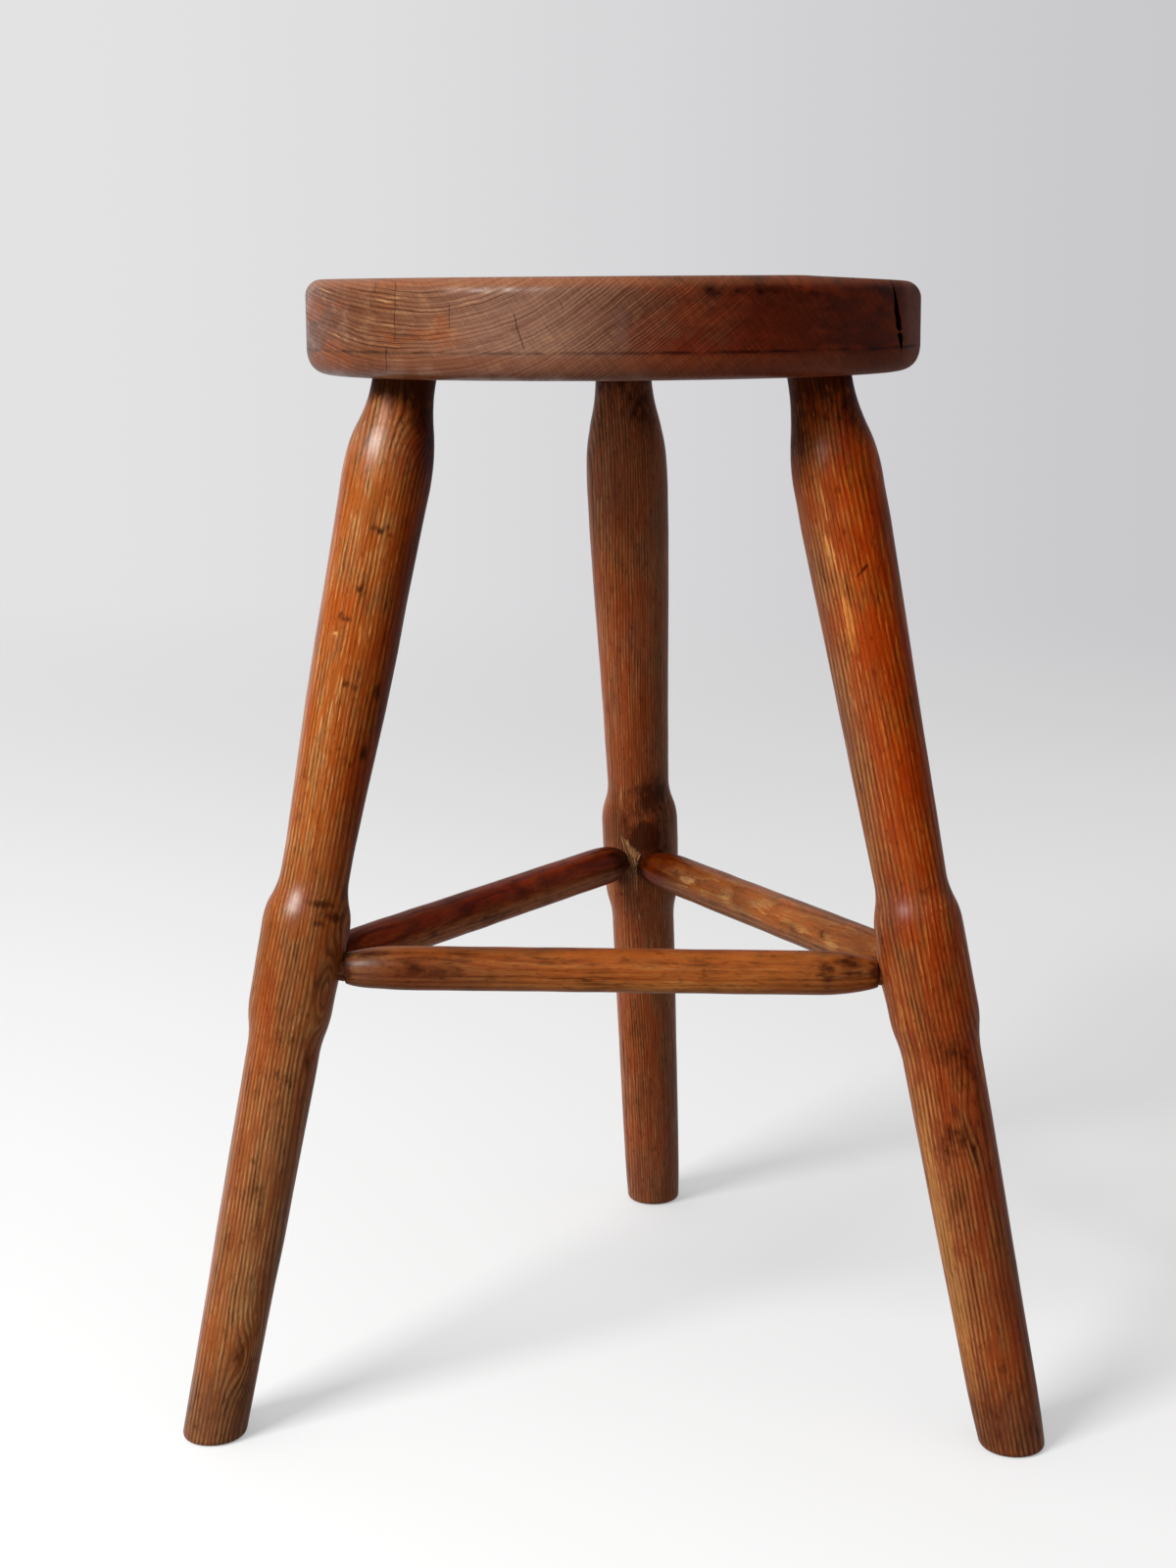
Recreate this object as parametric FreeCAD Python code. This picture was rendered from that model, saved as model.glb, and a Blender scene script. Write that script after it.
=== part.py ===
import FreeCAD, Part
import math
import os

# Wooden stool: a round plank seat on three turned, splayed legs, tied by three round stretchers.
# Lengths are in millimetres and angles in degrees. +Z is up, and +Y points towards the back leg.
# The origin is on the floor, in the middle of the ground that the stool covers.

# Seat, one round plank
seat_height = 564
seat_diameter = 305
seat_thickness = 46
top_edge_round = 7
lower_edge_height = 12.5
lower_edge_width = 13.5
lower_edge_bulge = 3.2

# Splay of the legs: circles through the leg axes, at the seat's underside and on the floor
socket_circle_diameter = 226
foot_circle_diameter = 458

# The sockets were bored by hand: one stands a little further out, and two legs lean sideways
right_socket_shift = 3
front_left_foot_turn = 1
back_foot_turn = -3

# Leg turning, from the seat down: lengths run along the leg, and the neck stands out past
# its tenon by the neck's shoulder
neck_shoulder = 2.7
neck_length = 4
neck_flare_length = 48
swell_diameter = 42.7
waist_diameter = 33.9
collar_rise_length = 26
collar_diameter = 42.7
collar_above_stretcher = 21
collar_below_stretcher = 16
collar_narrowing = 0.9
collar_fall_length = 26
shank_diameter = 35.6
foot_diameter = 31.3
foot_edge_round = 3

# Leg tenon, glued into a blind socket in the seat
leg_tenon_diameter = 25
wood_above_socket = 14
glue_pocket = 2

# Stretcher: a plain round with a bullet-shaped end, a narrow shoulder and a small tenon at
# each end
stretcher_height = 232
right_stretcher_drop = 5
stretcher_diameter = 21.6
stretcher_end_length = 29
stretcher_tenon_diameter = 12
stretcher_shoulder = 1.5
bare_tenon_length = 2
wood_between_sockets = 1

# Glue gap round every tenon, and the spare length of a turned blank before it is trimmed
socket_gap = 0.1
trim_overrun = 15

seat_radius = seat_diameter / 2
seat_underside = seat_height - seat_thickness
socket_circle_radius = socket_circle_diameter / 2
foot_circle_radius = foot_circle_diameter / 2
collar_radius = collar_diameter / 2
leg_tenon_radius = leg_tenon_diameter / 2
stretcher_tenon_radius = stretcher_tenon_diameter / 2

# The seat reaches furthest to the front and the back foot furthest to the back
back_reach = foot_circle_radius + foot_diameter / 2
seat_axis = FreeCAD.Vector(0, (seat_radius - back_reach) / 2, 0)
up = FreeCAD.Vector(0, 0, 1)


def polar(radius, azimuth, height):
    """Point at a radius and azimuth about the seat's axis, at a height above the floor."""
    turn = math.radians(azimuth)
    return seat_axis + FreeCAD.Vector(radius * math.cos(turn), radius * math.sin(turn), height)


def leg_axis(azimuth, socket_shift=0, foot_turn=0):
    """The ends of a leg's axis: at the seat's underside, and on the floor."""
    head = polar(socket_circle_radius + socket_shift, azimuth, seat_underside)
    foot = polar(foot_circle_radius, azimuth + foot_turn, 0)
    return head, foot


legs = {
    "leg_front_left": leg_axis(210, foot_turn=front_left_foot_turn),
    "leg_front_right": leg_axis(330, socket_shift=right_socket_shift),
    "leg_back": leg_axis(90, foot_turn=back_foot_turn),
}


def point_on_leg(leg, height):
    """Point of a leg's axis at a height above the floor."""
    head, foot = legs[leg]
    return foot + (head - foot) * (height / seat_underside)


def stretcher_axis(first_leg, second_leg, second_drop=0):
    """A stretcher's two legs, and the points where its axis meets theirs."""
    start = point_on_leg(first_leg, stretcher_height)
    end = point_on_leg(second_leg, stretcher_height - second_drop)
    return first_leg, start, second_leg, end


stretchers = {
    "stretcher_front": stretcher_axis("leg_front_left", "leg_front_right"),
    "stretcher_left": stretcher_axis("leg_front_left", "leg_back"),
    "stretcher_right": stretcher_axis("leg_front_right", "leg_back", right_stretcher_drop),
}


def stretcher_ends(leg):
    """Where each stretcher that meets a leg crosses its axis, and its direction away from the leg."""
    ends = []
    for first_leg, start, second_leg, end in stretchers.values():
        if leg == first_leg:
            ends.append((start, (end - start).normalize()))
        if leg == second_leg:
            ends.append((end, (start - end).normalize()))
    return ends


def tip_offset(leg):
    """Distance from a leg's axis to the tips of the two tenons in its collar.

    Two round tenons that aim at one point clear each other once a tip's inner corner is
    half of the wood between them off the plane that halves their angle.
    """
    (_, first_direction), (_, second_direction) = stretcher_ends(leg)
    half_angle = first_direction.getAngle(second_direction) / 2
    bore_radius = stretcher_tenon_radius + socket_gap
    across = bore_radius * math.cos(half_angle) + wood_between_sockets / 2
    return across / math.sin(half_angle)


def shoulder_offset(leg, direction):
    """Distance along a stretcher from a leg's axis to the shoulder, just clear of the collar."""
    head, foot = legs[leg]
    lean = direction.dot((head - foot).normalize())
    return collar_radius / math.sqrt(1 - lean * lean) + bare_tenon_length


def outline_point(point):
    """A (radius, height) point in the half-plane that is turned about Z."""
    radius, height = point
    return FreeCAD.Vector(radius, 0, height)


def line(start, end):
    """Straight edge of an outline between two (radius, height) points."""
    return Part.LineSegment(outline_point(start), outline_point(end)).toShape()


def eased(crest, other):
    """Arc between two outline points that runs parallel to the turning axis at the crest.

    Its halfway point lies off the crest at half the chord's angle to the axis, at half
    the chord's length over the cosine of that half angle.
    """
    rise = other[0] - crest[0]
    run = other[1] - crest[1]
    half_angle = math.atan2(abs(rise), abs(run)) / 2
    reach = math.hypot(rise, run) / 2 / math.cos(half_angle)
    halfway = (
        crest[0] + math.copysign(reach * math.sin(half_angle), rise),
        crest[1] + math.copysign(reach * math.cos(half_angle), run),
    )
    arc = Part.Arc(outline_point(crest), outline_point(halfway), outline_point(other))
    return arc.toShape()


def ogee(start, end):
    """Two equal arcs that join two diameters of a turning with an S."""
    middle = ((start[0] + end[0]) / 2, (start[1] + end[1]) / 2)
    return [eased(start, middle), eased(end, middle)]


def turned(edges):
    """Solid of revolution about Z of an outline whose two ends lie on the axis."""
    outline = Part.Wire(Part.__sortEdges__(edges))
    low, high = outline.OrderedVertexes[0].Point, outline.OrderedVertexes[-1].Point
    face = Part.Face(Part.Wire(outline.Edges + [Part.LineSegment(high, low).toShape()]))
    return face.revolve(FreeCAD.Vector(), up, 360)


def stood_at(solid, point, direction):
    """A solid built on Z, set with its origin at a point and its Z along a direction."""
    solid.Placement = FreeCAD.Placement(point, FreeCAD.Rotation(up, direction))
    return solid


def lowest_edge(solid):
    """The edge of a solid whose highest point is lowest."""
    return min(solid.Edges, key=lambda edge: edge.BoundBox.ZMax)


def seat_socket(leg):
    """Mouth, upward direction and depth of a leg's socket, which leaves its wood above it."""
    head, foot = legs[leg]
    direction = (head - foot).normalize()
    depth = (seat_thickness - wood_above_socket) / direction.z
    return head, direction, depth


def make_seat():
    """Round plank with an eased top edge, a fuller lower edge and three blind, slanted sockets."""
    underside_radius = seat_radius - lower_edge_width
    top_radius = seat_radius - top_edge_round
    band_top = seat_thickness - top_edge_round

    # The lower edge is an arc that stands off its chord by the bulge
    chord = math.hypot(lower_edge_width, lower_edge_height)
    lower_halfway = (
        seat_radius - lower_edge_width / 2 + lower_edge_bulge * lower_edge_height / chord,
        lower_edge_height / 2 - lower_edge_bulge * lower_edge_width / chord,
    )
    lower_arc = Part.Arc(
        outline_point((underside_radius, 0)),
        outline_point(lower_halfway),
        outline_point((seat_radius, lower_edge_height)),
    )
    plank = turned([
        line((0, 0), (underside_radius, 0)),
        lower_arc.toShape(),
        line((seat_radius, lower_edge_height), (seat_radius, band_top)),
        eased((seat_radius, band_top), (top_radius, seat_thickness)),
        line((top_radius, seat_thickness), (0, seat_thickness)),
    ])
    plank.translate(seat_axis + up * seat_underside)

    for leg in legs:
        head, direction, depth = seat_socket(leg)
        bore = Part.makeCylinder(
            leg_tenon_radius + socket_gap,
            trim_overrun + depth,
            head - direction * trim_overrun,
            direction,
        )
        plank = plank.cut(bore)
    return plank


def make_leg(leg):
    """Turned leg, trimmed flush with the seat and the floor, with its tenon and two sockets."""
    head, direction, depth = seat_socket(leg)
    length = head.distanceToPoint(legs[leg][1])
    stretcher_mark = (head - point_on_leg(leg, stretcher_height)).Length

    # Heights of the turning along the leg, measured from the seat's underside
    flare_top = -neck_length
    flare_foot = flare_top - neck_flare_length
    collar_top = collar_above_stretcher - stretcher_mark
    collar_foot = -collar_below_stretcher - stretcher_mark
    waist = collar_top + collar_rise_length
    shank_top = collar_foot - collar_fall_length
    floor_level = -length

    neck_radius = leg_tenon_radius + neck_shoulder
    swell_radius = swell_diameter / 2
    waist_radius = waist_diameter / 2
    collar_foot_radius = (collar_diameter - collar_narrowing) / 2
    shank_radius = shank_diameter / 2
    foot_radius = foot_diameter / 2
    blank_top = trim_overrun
    blank_foot = floor_level - trim_overrun

    # The shank's taper runs on past the floor, to the end of the blank
    shank_taper = (shank_radius - foot_radius) / (shank_top - floor_level)
    blank_foot_radius = foot_radius - shank_taper * trim_overrun

    blank = turned([
        line((0, blank_top), (neck_radius, blank_top)),
        line((neck_radius, blank_top), (neck_radius, flare_top)),
        *ogee((neck_radius, flare_top), (swell_radius, flare_foot)),
        line((swell_radius, flare_foot), (waist_radius, waist)),
        *ogee((waist_radius, waist), (collar_radius, collar_top)),
        line((collar_radius, collar_top), (collar_foot_radius, collar_foot)),
        *ogee((collar_foot_radius, collar_foot), (shank_radius, shank_top)),
        line((shank_radius, shank_top), (blank_foot_radius, blank_foot)),
        line((blank_foot_radius, blank_foot), (0, blank_foot)),
    ])
    blank = stood_at(blank, head, direction)

    # Keep what lies between the floor and the seat, and ease the edge of the foot
    reach = foot_circle_radius + foot_diameter
    corner = seat_axis - FreeCAD.Vector(reach, reach, 0)
    trimmed = blank.common(Part.makeBox(2 * reach, 2 * reach, seat_underside, corner))
    trimmed = trimmed.makeFillet(foot_edge_round, [lowest_edge(trimmed)])

    tenon = Part.makeCylinder(
        leg_tenon_radius,
        trim_overrun + depth - glue_pocket,
        head - direction * trim_overrun,
        direction,
    )
    piece = trimmed.fuse(tenon).removeSplitter()

    for crossing, outward in stretcher_ends(leg):
        bore = Part.makeCylinder(
            stretcher_tenon_radius + socket_gap,
            collar_diameter,
            crossing + outward * tip_offset(leg),
            outward,
        )
        piece = piece.cut(bore)
    return piece


def make_stretcher(stretcher):
    """Round stretcher with a bullet-shaped end and a tenon at each of its two legs."""
    first_leg, start, second_leg, end = stretchers[stretcher]
    direction = (end - start).normalize()
    span = start.distanceToPoint(end)
    body_radius = stretcher_diameter / 2
    shoulder_radius = stretcher_tenon_radius + stretcher_shoulder

    # Heights along the stretcher, measured from the first leg's axis
    first_tip = tip_offset(first_leg)
    first_shoulder = shoulder_offset(first_leg, direction)
    first_full = first_shoulder + stretcher_end_length
    second_tip = span - tip_offset(second_leg)
    second_shoulder = span - shoulder_offset(second_leg, direction)
    second_full = second_shoulder - stretcher_end_length

    piece = turned([
        line((0, first_tip), (stretcher_tenon_radius, first_tip)),
        line((stretcher_tenon_radius, first_tip), (stretcher_tenon_radius, first_shoulder)),
        line((stretcher_tenon_radius, first_shoulder), (shoulder_radius, first_shoulder)),
        eased((body_radius, first_full), (shoulder_radius, first_shoulder)),
        line((body_radius, first_full), (body_radius, second_full)),
        eased((body_radius, second_full), (shoulder_radius, second_shoulder)),
        line((shoulder_radius, second_shoulder), (stretcher_tenon_radius, second_shoulder)),
        line((stretcher_tenon_radius, second_shoulder), (stretcher_tenon_radius, second_tip)),
        line((stretcher_tenon_radius, second_tip), (0, second_tip)),
    ])
    return stood_at(piece, start, direction)


os.makedirs("parts", exist_ok=True)
make_seat().exportStep("parts/seat.step")
for leg in legs:
    make_leg(leg).exportStep(f"parts/{leg}.step")
for stretcher in stretchers:
    make_stretcher(stretcher).exportStep(f"parts/{stretcher}.step")
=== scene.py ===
# A tall stool of old, varnished wood: a thick round plank seat on three turned legs that splay
# outwards, tied by three round stretchers. Sizes are in millimetres and go into the meshes in metres.
import math

import bpy
import numpy as np
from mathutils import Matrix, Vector


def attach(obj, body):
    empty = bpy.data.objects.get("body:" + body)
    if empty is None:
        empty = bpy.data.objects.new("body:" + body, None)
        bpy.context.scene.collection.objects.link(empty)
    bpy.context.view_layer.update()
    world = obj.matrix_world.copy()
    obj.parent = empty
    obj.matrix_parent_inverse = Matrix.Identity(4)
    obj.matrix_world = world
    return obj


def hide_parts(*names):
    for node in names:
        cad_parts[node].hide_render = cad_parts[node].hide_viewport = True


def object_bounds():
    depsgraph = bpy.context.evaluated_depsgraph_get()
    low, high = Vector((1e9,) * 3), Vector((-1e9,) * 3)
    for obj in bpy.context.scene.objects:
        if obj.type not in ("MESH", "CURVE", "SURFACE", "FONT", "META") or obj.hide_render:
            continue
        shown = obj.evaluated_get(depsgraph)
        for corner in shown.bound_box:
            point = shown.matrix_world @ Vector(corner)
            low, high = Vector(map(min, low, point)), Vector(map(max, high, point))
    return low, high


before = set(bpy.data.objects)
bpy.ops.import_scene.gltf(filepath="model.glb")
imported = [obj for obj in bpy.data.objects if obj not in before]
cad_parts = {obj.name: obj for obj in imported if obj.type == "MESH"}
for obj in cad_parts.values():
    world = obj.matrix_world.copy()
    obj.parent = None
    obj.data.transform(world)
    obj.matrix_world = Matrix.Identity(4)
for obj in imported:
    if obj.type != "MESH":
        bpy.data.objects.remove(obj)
cad_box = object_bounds()
scene = bpy.context.scene


# The view, from 1.3 m away and from just under the height of the seat, so that its top doesn't show.
# The camera looks a little down, and stands a little to the right of the stool's middle.
lens = bpy.data.cameras.new("view")
lens.sensor_fit = "VERTICAL"
lens.sensor_height = 24
lens.lens = 39.07
camera = bpy.data.objects.new("view", lens)
camera.location = (0.0586, -1.33806, 0.55797)
camera.rotation_euler = [math.radians(turn) for turn in (79.0477, 0.4043, 3.1517)]
scene.collection.objects.link(camera)
scene.camera = camera
scene.view_settings.view_transform = "Standard"


# The seat: one round, two inch plank. Its end grain faces the front and the back, its top edge is eased
# and its lower edge is rounded more fully. It is varnished, worn bare to the left, and split by drying.
mm = 0.001
seat_centre = np.array([0, -46.075, 0])
seat_underside = 518
seat_thickness = 46
seat_radius = 152.5
top_edge_round = 8
lower_edge_height = 12.5
lower_edge_width = 13.5
lower_edge_bulge = 4.6
plank_turn = math.radians(-3.364)

split_place = 137.0
split_lean = -0.15
split_half_width = 1.4
split_depth = 11
split_bottom, split_bridge, split_top = 10.5, 19.8, 44.5
split_middle = 26


def skin(name, *stacks):
    """Closed mesh over one or more stacks of rings, given in millimetres as rows x columns x 3.

    Quads join ring k to ring k + 1 and close the seam, and a fan of triangles closes each end of
    a stack on the mean of its last ring. The enclosed volume is a sixth of the sum of
    a . (b x c) over the triangles; where it is negative, the faces are turned round.
    """
    points, faces, start = [], [], 0
    for rings in stacks:
        rows, columns = rings.shape[:2]
        spots = np.vstack([rings.reshape(-1, 3), rings[0].mean(0), rings[-1].mean(0)])
        row, column = np.meshgrid(np.arange(rows - 1), np.arange(columns), indexing="ij")
        here = row * columns + column
        beside = row * columns + (column + 1) % columns
        quads = np.stack([here, beside, beside + columns, here + columns], -1).reshape(-1, 4)
        first = np.arange(columns)
        second = (first + 1) % columns
        near_pole = np.full(columns, rows * columns)
        last = (rows - 1) * columns
        near_fan = np.stack([second, first, near_pole], -1)
        far_fan = np.stack([first + last, second + last, near_pole + 1], -1)
        fans = np.vstack([near_fan, far_fan])
        corners = np.vstack([quads[:, [0, 1, 2]], quads[:, [0, 2, 3]], fans])
        a, b, c = (spots[corners[:, k]] - spots[0] for k in range(3))
        if (a * np.cross(b, c)).sum() < 0:
            quads, fans = quads[:, ::-1], fans[:, ::-1]
        points.append(spots)
        faces += (quads + start).tolist() + (fans + start).tolist()
        start += len(spots)
    mesh = bpy.data.meshes.new(name)
    mesh.from_pydata((np.vstack(points) * mm).tolist(), [], faces)
    mesh.shade_smooth()
    piece = bpy.data.objects.new(name, mesh)
    scene.collection.objects.link(piece)
    return piece


def smooth(low, high, value):
    """Step that rises from 0 at low to 1 at high as 3 k^2 - 2 k^3."""
    k = np.clip((value - low) / (high - low), 0, 1)
    return k * k * (3 - 2 * k)


def waves(seed, count, *directions):
    """Even, seeded unevenness between -1 and 1: the mean of sines of random pitch and phase.

    Each direction is a pair of an array and its longest wavelength.
    """
    chance = np.random.default_rng(seed)
    total = 0
    for _ in range(count):
        phase = chance.uniform(0, 2 * math.pi)
        for values, wavelength in directions:
            phase = phase + values * chance.uniform(-2.5, 2.5) * 2 * math.pi / wavelength
        total = total + np.sin(phase)
    return total / count


def seat_outline():
    """Radius and height above the underside, from the middle of the underside to the middle of the top.

    The lower edge is a chord plus its bulge times 4 k (1 - k) square to it, and the top edge a
    quarter of a circle.
    """
    under = seat_radius - lower_edge_width
    chord = math.hypot(lower_edge_width, lower_edge_height)
    k = np.linspace(0, 1, 15)
    bulge = lower_edge_bulge * 4 * k * (1 - k) / chord
    quarter = np.linspace(0, math.pi / 2, 12)
    band_top = seat_thickness - top_edge_round
    face = seat_radius - top_edge_round
    parts = [
        (np.linspace(3, under, 20, endpoint=False), np.zeros(20)),
        (under + lower_edge_width * k + bulge * lower_edge_height,
         lower_edge_height * k - bulge * lower_edge_width),
        (np.full(46, seat_radius), np.linspace(lower_edge_height, band_top, 48)[1:-1]),
        (face + top_edge_round * np.cos(quarter), band_top + top_edge_round * np.sin(quarter)),
        (np.linspace(face, 3, 26)[1:], np.full(25, seat_thickness)),
    ]
    return np.hstack([radius for radius, _ in parts]), np.hstack([height for _, height in parts])


def seat_rings():
    """The outline turned round the seat's axis, with the drying split cut in along the grain.

    Columns stand closer round the split. The split is a wedge: a point within its half width w
    moves back by the depth times 1 - (x / w)^2. It narrows to nothing at both ends and at a
    bridge of wood. The rim is worn by up to 0.6 mm, more to the right, and the top is a little
    hollow and sinks at its right edge.
    """
    wide = np.radians(np.arange(337.5, 682.5, 0.6))
    fine = np.radians(np.arange(322.5, 337.5, 0.12))
    radius, height = seat_outline()
    radius, turn = np.meshgrid(radius, np.hstack([fine, wide]), indexing="ij")
    height = np.broadcast_to(height[:, None], radius.shape)
    right, back = np.cos(turn), np.sin(turn)
    uneven = waves(3, 9, (right * 150, 160), (back * 150, 160), (height, 60))
    worn = 0.12 + 0.36 * smooth(-150, 150, radius * right) + 0.12 * uneven
    reach = radius - worn * smooth(120, 150, radius)
    x, y = reach * right, reach * back
    line = split_place + split_lean * (height - split_middle) + 0.35 * waves(5, 5, (height, 12))
    taper = smooth(split_bottom, split_bottom + 9, height) * smooth(split_top, split_top - 20, height)
    held = 1 - smooth(1.5, 0.3, np.abs(height - split_bridge))
    half_width = split_half_width * np.sqrt(taper) * (0.06 + 0.94 * held) + 1e-6
    across = np.clip(1 - ((x - line) / half_width) ** 2, 0, 1)
    front = (y < 0) & (radius > seat_radius - lower_edge_width)
    y = y + np.where(front, split_depth * np.minimum(half_width, 1) * across, 0)
    flat = smooth(144, 120, radius) * (height > 20)
    hollow = flat * (0.25 + 0.25 * waves(8, 9, (x, 260), (y, 300)))
    right_sag = 0.047 * np.maximum(x - 88, 0) * smooth(82, 100, x) * smooth(16, 42, height)
    return np.stack([x, y, height - hollow - right_sag + seat_underside], -1) + seat_centre


class Shade:
    """A number or colour that changes over a surface: a socket on which sums are written."""

    def __init__(self, finish, socket):
        self.finish, self.socket = finish, socket

    def maths(self, operation, first, second=0):
        return self.finish.node("Math", {"operation": operation}, {0: first, 1: second})

    def __add__(self, other):
        return self.maths("ADD", self, other)

    def __radd__(self, other):
        return self.maths("ADD", other, self)

    def __sub__(self, other):
        return self.maths("SUBTRACT", self, other)

    def __rsub__(self, other):
        return self.maths("SUBTRACT", other, self)

    def __mul__(self, other):
        return self.maths("MULTIPLY", self, other)

    def __truediv__(self, other):
        return self.maths("DIVIDE", self, other)

    def __abs__(self):
        return self.maths("ABSOLUTE", self)

    def floor(self):
        return self.maths("FLOOR", self)

    def at_least(self, other):
        return self.maths("MAXIMUM", self, other)

    def at_most(self, other):
        return self.maths("MINIMUM", self, other)

    def over(self, low, high, start=0, end=1):
        """Smooth step from start to end as the number goes from low to high."""
        return self.finish.node(
            "MapRange",
            {"interpolation_type": "SMOOTHSTEP"},
            {"Value": self, "From Min": low, "From Max": high, "To Min": start, "To Max": end},
        )

    def part(self, name):
        """Another output of the same node."""
        return Shade(self.finish, self.socket.node.outputs[name])


class Finish:
    """A material or a world, and its nodes."""

    def __init__(self, holder):
        self.holder = holder
        holder.use_nodes = True
        self.tree = holder.node_tree
        self.tree.nodes.clear()

    def node(self, kind, settings=None, sockets=None, output=0):
        """A shader node of a type, with its settings made first and then its sockets set or linked."""
        made = self.tree.nodes.new("ShaderNode" + kind)
        for key, value in (settings or {}).items():
            setattr(made, key, value)
        for key, value in (sockets or {}).items():
            if isinstance(value, Shade):
                self.tree.links.new(value.socket, made.inputs[key])
            else:
                made.inputs[key].default_value = value
        return Shade(self, made.outputs[output]) if made.outputs else None

    def stretched(self, vector, x, y, z):
        """A place divided by a length along each axis, so that a pattern is that long there."""
        return self.node("VectorMath", {"operation": "DIVIDE"}, {0: vector, 1: (x, y, z)})

    def noise(self, vector, x, y, z, detail=2, roughness=0.5, distortion=0):
        """Noise from 0 to 1 about 0.5, whose lumps are about x by y by z millimetres."""
        return self.node("TexNoise", None, {
            "Vector": self.stretched(vector, x, y, z), "Scale": 1, "Detail": detail,
            "Roughness": roughness, "Distortion": distortion,
        })

    def mixed(self, share, under, over, kind="MIX"):
        """Colour over another by a share."""
        settings = {"data_type": "RGBA", "blend_type": kind, "clamp_factor": True}
        return self.node("Mix", settings, {0: share, 6: under, 7: over}, output=2)

    def filtered(self, share, under, colour):
        """Colour seen through a layer of varnish or dirt of a colour, laid on by a share."""
        return self.mixed(share, under, colour, "MULTIPLY")

    def toned(self, shade, tone):
        """Colour times a number."""
        return self.filtered(1.0, shade, self.node("CombineColor", None, {0: tone, 1: tone, 2: tone}))

    def varnished(self, colour, roughness, height, depth, specular, coat, coat_roughness):
        """Ends the material in varnished wood: colour, roughness and a relief of a depth in millimetres."""
        relief = self.node("Bump", None, {"Height": height, "Strength": 1.0, "Distance": depth * mm})
        wood = self.node("BsdfPrincipled", None, {
            "Base Color": colour, "Roughness": roughness, "Normal": relief,
            "Specular IOR Level": specular, "Coat Weight": coat, "Coat Roughness": coat_roughness,
        })
        self.node("OutputMaterial", None, {"Surface": wood})
        return self.holder


def ink(red, green, blue):
    """Scene-linear colour of a screen colour from 0 to 255: ((c + 0.055) / 1.055) ^ 2.4."""
    shares = [value / 255 for value in (red, green, blue)]
    return tuple(((c + 0.055) / 1.055) ** 2.4 if c > 0.04045 else c / 12.92 for c in shares) + (1.0,)


ring_growth = 0.00514
ring_step = 0.0082


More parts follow.
